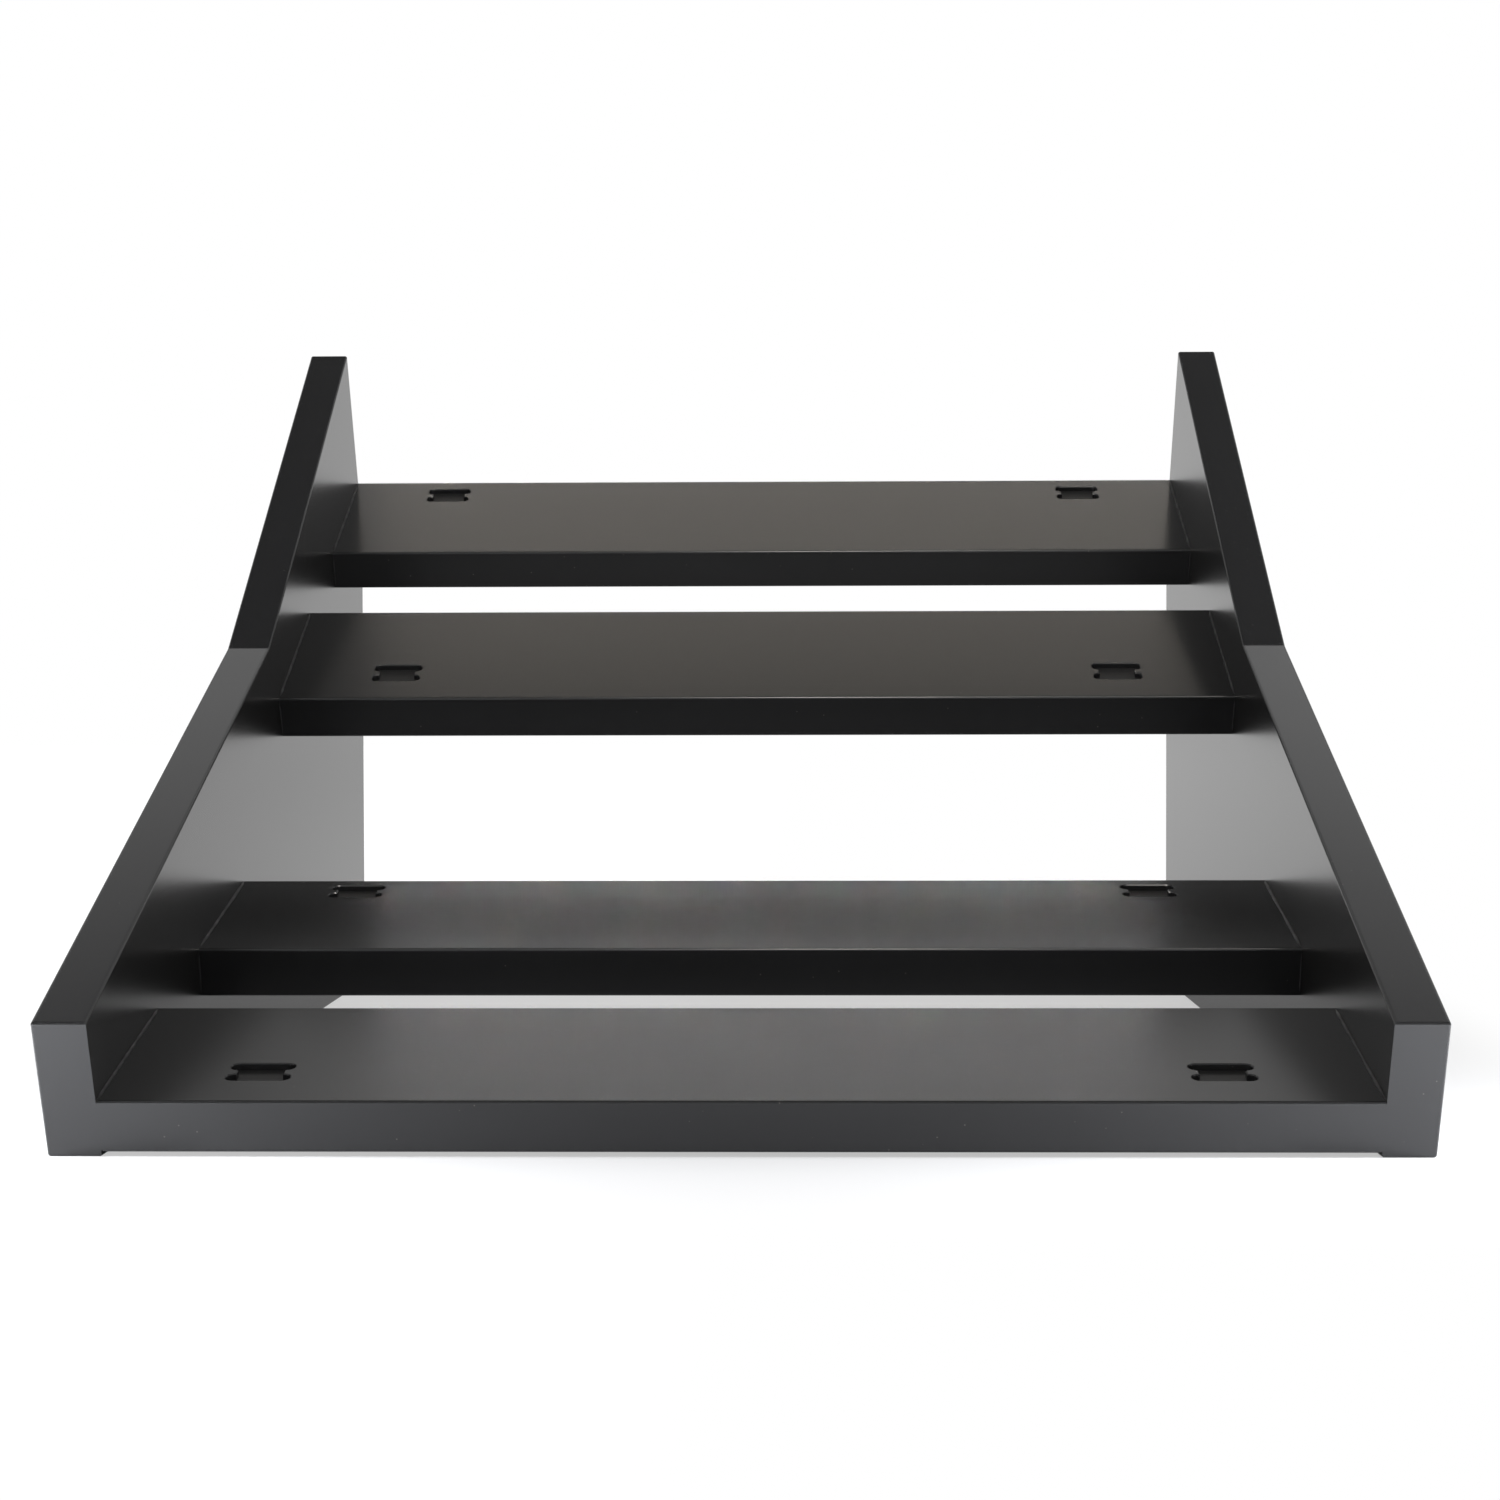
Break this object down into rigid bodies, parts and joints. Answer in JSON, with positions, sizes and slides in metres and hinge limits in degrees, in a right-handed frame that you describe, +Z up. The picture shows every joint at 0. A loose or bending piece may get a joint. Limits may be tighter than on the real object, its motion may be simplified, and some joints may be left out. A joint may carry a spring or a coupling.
{
  "type": "synthesizer stand",
  "caption": "Two-tier desktop stand of lacquered board: side panels carry tilted rails, each with recessed foot pockets, to hold desktop synthesizers at a playing angle.",
  "frame": {"origin": "on the floor, in the middle of the stand's footprint", "axes": "+X to the right across the stand as the player sees it, +Y to the rear, +Z up"},
  "size_m": [0.452, 0.5431, 0.3194],
  "materials": {
    "black_lacquered_board": "satin black lacquer on medium-density fibreboard",
    "beech_dowel": "plain turned beech",
    "zinc_plated_steel": "zinc plated",
    "black_plastic": "satin moulded"
  },
  "bodies": {
    "root": {"left_side_panel": "black_lacquered_board", "right_side_panel": "black_lacquered_board", "lower_front_rail": "black_lacquered_board", "lower_front_left_dowels": "beech_dowel", "lower_front_left_screw": "zinc_plated_steel", "lower_front_left_plug": "black_plastic", "lower_front_right_dowels": "beech_dowel", "lower_front_right_screw": "zinc_plated_steel", "lower_front_right_plug": "black_plastic", "lower_rear_rail": "black_lacquered_board", "lower_rear_left_dowels": "beech_dowel", "lower_rear_left_screw": "zinc_plated_steel", "lower_rear_left_plug": "black_plastic", "lower_rear_right_dowels": "beech_dowel", "lower_rear_right_screw": "zinc_plated_steel", "lower_rear_right_plug": "black_plastic", "upper_front_rail": "black_lacquered_board", "upper_front_left_dowels": "beech_dowel", "upper_front_left_screw": "zinc_plated_steel", "upper_front_left_plug": "black_plastic", "upper_front_right_dowels": "beech_dowel", "upper_front_right_screw": "zinc_plated_steel", "upper_front_right_plug": "black_plastic", "upper_rear_rail": "black_lacquered_board", "upper_rear_left_dowels": "beech_dowel", "upper_rear_left_screw": "zinc_plated_steel", "upper_rear_left_plug": "black_plastic", "upper_rear_right_dowels": "beech_dowel", "upper_rear_right_screw": "zinc_plated_steel", "upper_rear_right_plug": "black_plastic"}
  },
  "joints": []
}
